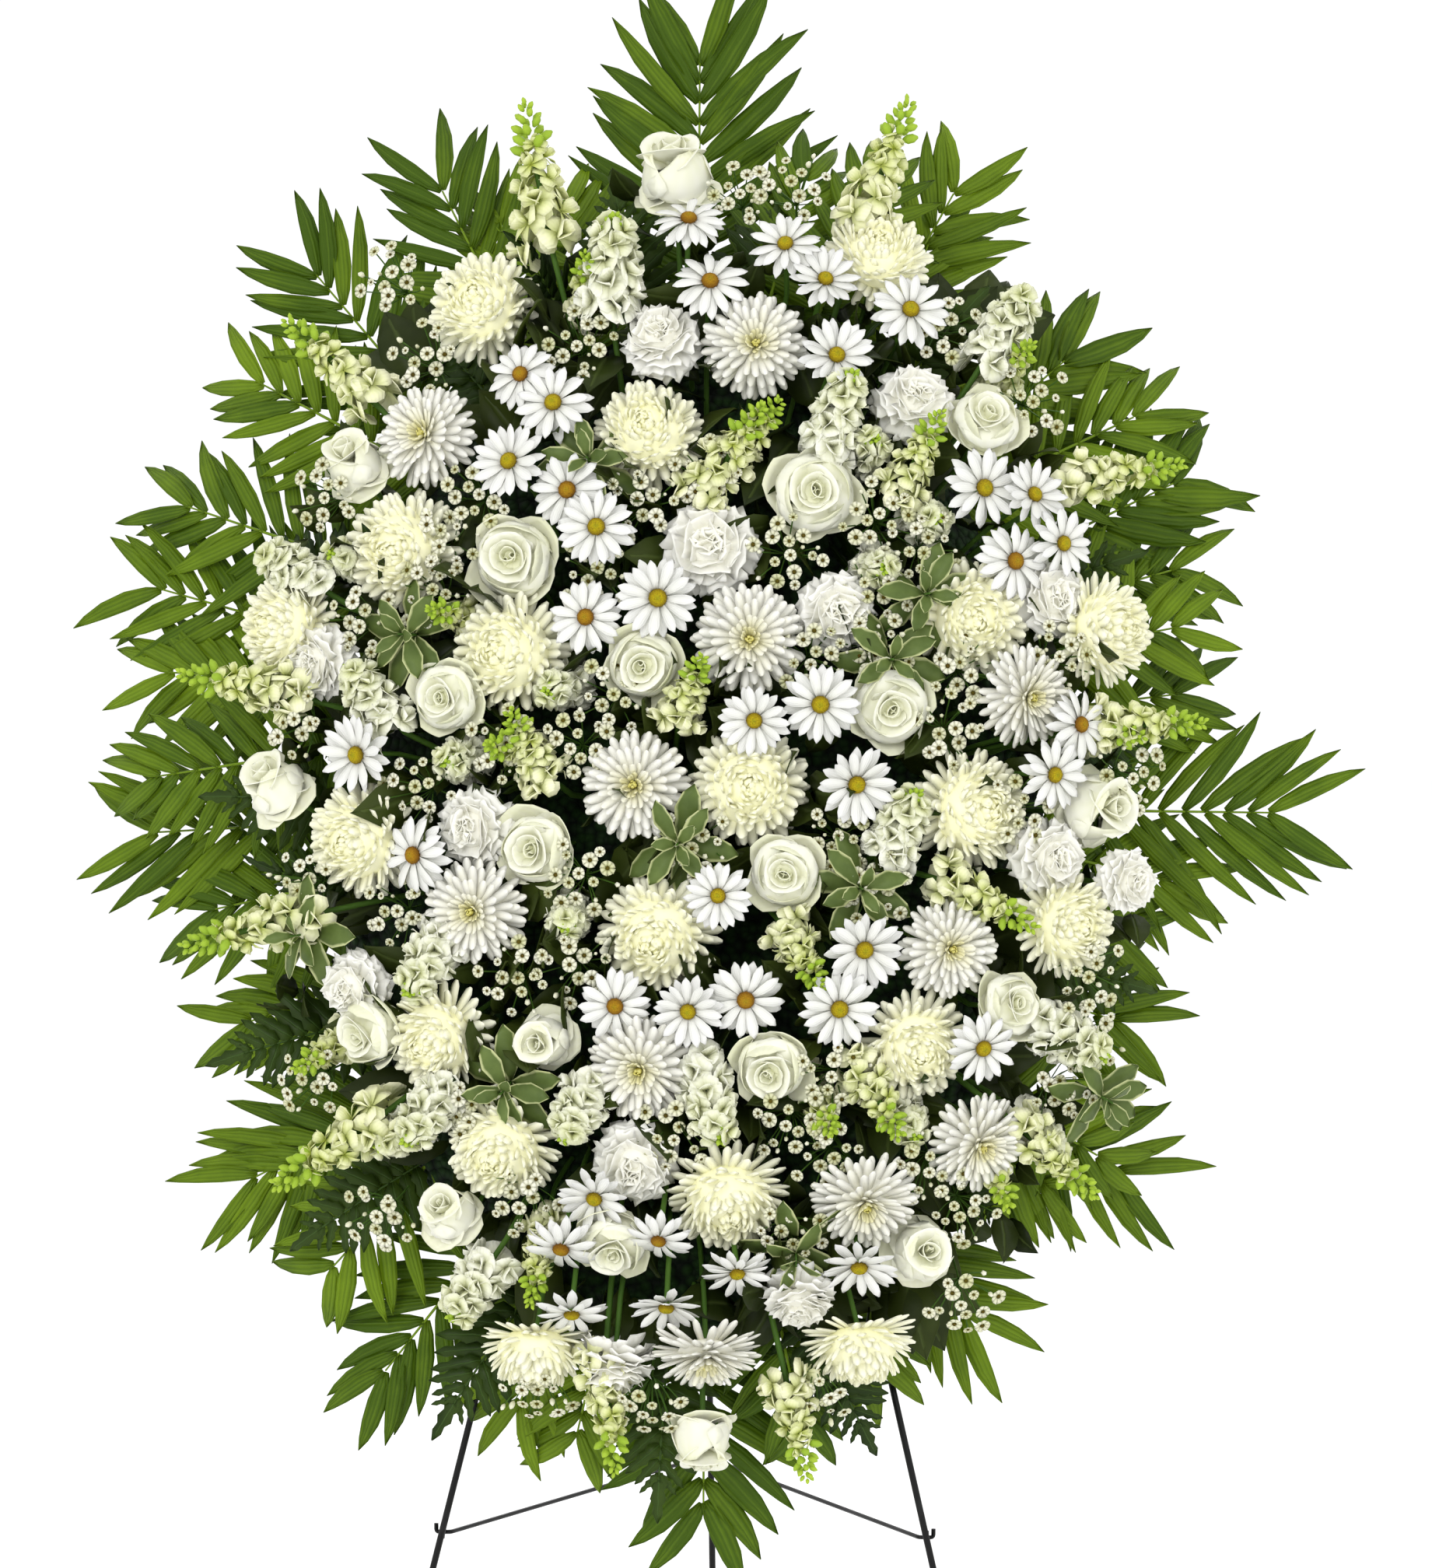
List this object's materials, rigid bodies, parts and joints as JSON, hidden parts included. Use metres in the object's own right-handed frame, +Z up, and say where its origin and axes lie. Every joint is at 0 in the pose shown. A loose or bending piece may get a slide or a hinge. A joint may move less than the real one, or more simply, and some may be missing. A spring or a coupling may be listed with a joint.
{
  "type": "standing funeral arrangement",
  "caption": "Standing funeral spray of white flowers and palm fronds in a foam holder, tied to a folding wire tripod easel.",
  "frame": {"origin": "middle of the object's footprint box, on the floor", "axes": "+Z up, +X to the right of someone who faces the flowers, +Y from the flowers back to the rear leg"},
  "size_m": [1.0794, 0.5838, 1.6417],
  "materials": {
    "easel_wire": "satin black enamel",
    "zinc": "bright zinc plate",
    "holder_plastic": "matte moulded",
    "tie_nylon": "matte",
    "floral_foam": "wet open-cell foam",
    "greens": "leaf",
    "palm_leaf": "waxy leaf",
    "mum_petal": "petal",
    "rose_petal": "petal",
    "spider_petal": "petal",
    "carnation_petal": "petal",
    "daisy_petal": "petal",
    "stock_petal": "petal",
    "snapdragon_petal": "petal"
  },
  "bodies": {
    "front_frame": {"cable_tie_lower_left": "tie_nylon", "cable_tie_lower_right": "tie_nylon", "cable_tie_upper_left": "tie_nylon", "cable_tie_upper_right": "tie_nylon", "carnation_lower": "carnation_petal", "carnation_right": "carnation_petal", "daisy_spray_centre": "daisy_petal", "daisy_spray_lower": "daisy_petal", "daisy_spray_upper_left": "daisy_petal", "foam_brick_lower": "floral_foam", "foam_brick_upper": "floral_foam", "foam_strap_lower": "holder_plastic", "foam_strap_upper": "holder_plastic", "football_mum_centre": "mum_petal", "football_mum_left": "mum_petal", "football_mum_lower_left": "mum_petal", "football_mum_lower_right": "mum_petal", "football_mum_right": "mum_petal", "football_mum_upper_left": "mum_petal", "football_mum_upper_right": "mum_petal", "frond_bottom": "palm_leaf", "frond_bottom_left": "palm_leaf", "frond_bottom_right": "palm_leaf", "frond_left": "palm_leaf", "frond_lower_left": "palm_leaf", "frond_lower_right": "palm_leaf", "frond_right": "palm_leaf", "frond_shoulder_left": "palm_leaf", "frond_shoulder_right": "palm_leaf", "frond_top": "palm_leaf", "frond_top_left": "palm_leaf", "frond_top_right": "palm_leaf", "frond_upper_left": "palm_leaf", "frond_upper_right": "palm_leaf", "frond_waist_left": "palm_leaf", "frond_waist_right": "palm_leaf", "greens_bed": "greens", "left_brace_eye": "easel_wire", "left_front_leg": "easel_wire", "lower_cross_bar": "easel_wire", "pivot_bolt": "zinc", "pivot_nut": "zinc", "right_brace_eye": "easel_wire", "right_front_leg": "easel_wire", "rose_bottom": "rose_petal", "rose_left": "rose_petal", "rose_right": "rose_petal", "rose_top": "rose_petal", "rose_upper_left": "rose_petal", "rose_upper_right": "rose_petal", "snapdragon_right": "snapdragon_petal", "snapdragon_upper_left": "snapdragon_petal", "spider_mum_lower": "spider_petal", "spider_mum_upper": "spider_petal", "spray_tray": "holder_plastic", "stock_upper": "stock_petal", "upper_cross_bar": "easel_wire"},
    "rear_leg": {"rear_leg": "easel_wire"},
    "left_brace": {"left_brace": "easel_wire"},
    "right_brace": {"right_brace": "easel_wire"}
  },
  "joints": [
    {"name": "rear_leg_fold", "type": "hinge", "parent": "front_frame", "child": "rear_leg", "pos_m": [-0.01462, 0.02255, 1.155], "axis": [-1, 0, 0], "range_deg": [0, 23]},
    {"name": "left_brace_fold", "type": "hinge", "parent": "front_frame", "child": "left_brace", "pos_m": [-0.21018, -0.13854, 0.356], "axis": [-1, 0, 0], "range_deg": [0, 93]},
    {"name": "right_brace_fold", "type": "hinge", "parent": "front_frame", "child": "right_brace", "pos_m": [0.18094, -0.13854, 0.356], "axis": [-1, 0, 0], "range_deg": [0, 93]}
  ],
  "couplings": [
    {"joint": "left_brace_fold", "follows": "rear_leg_fold", "ratio": 4},
    {"joint": "right_brace_fold", "follows": "rear_leg_fold", "ratio": 4}
  ]
}
